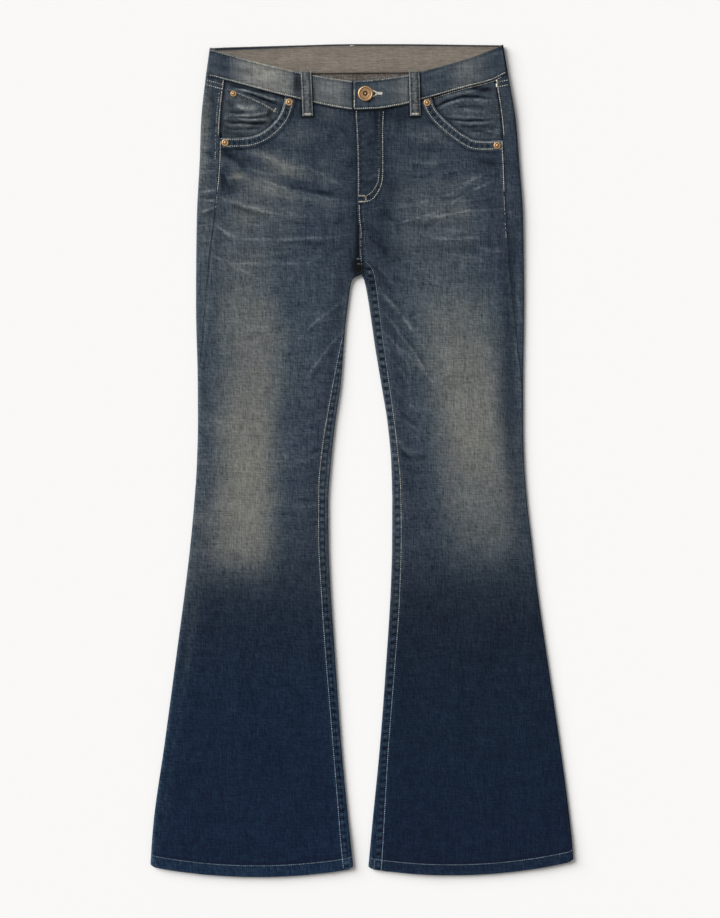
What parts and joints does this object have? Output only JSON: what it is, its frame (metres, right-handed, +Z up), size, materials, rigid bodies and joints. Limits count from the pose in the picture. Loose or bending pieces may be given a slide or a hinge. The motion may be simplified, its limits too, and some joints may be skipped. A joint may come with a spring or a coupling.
{
  "type": "flared jeans",
  "caption": "Pair of flared denim jeans laid flat on their back, with a curved waistband, scooped front pockets, a coin pocket, belt loops and a tack button",
  "frame": {"origin": "middle of the outline, on the surface that the jeans lie on", "axes": "+X to the wearer's left, +Y from the hems to the waist, +Z up out of the front"},
  "size_m": [0.5712, 1.1232, 0.013],
  "materials": {
    "denim": "indigo twill, washed pale down the thighs",
    "denim_inside": "wrong side of the denim, taupe",
    "copper": "aged copper plate"
  },
  "bodies": {
    "root": {"front_panel_right": "denim", "front_panel_left": "denim", "back_panel_right": "denim", "back_panel_left": "denim", "back_yoke_right": "denim", "back_yoke_left": "denim", "hem_turn_right": "denim", "hem_turn_left": "denim", "pocket_facing_right": "denim", "pocket_facing_left": "denim", "coin_pocket": "denim", "waistband": "denim", "belt_loop_front_right": "denim", "belt_loop_front_left": "denim", "belt_loop_back_right": "denim", "belt_loop_back_centre": "denim", "belt_loop_back_left": "denim", "waistband_facing": "denim_inside", "button": "copper", "rivet_pocket_right_upper": "copper", "rivet_pocket_right_lower": "copper", "rivet_coin": "copper", "rivet_pocket_left_upper": "copper", "rivet_pocket_left_lower": "copper"}
  },
  "joints": []
}
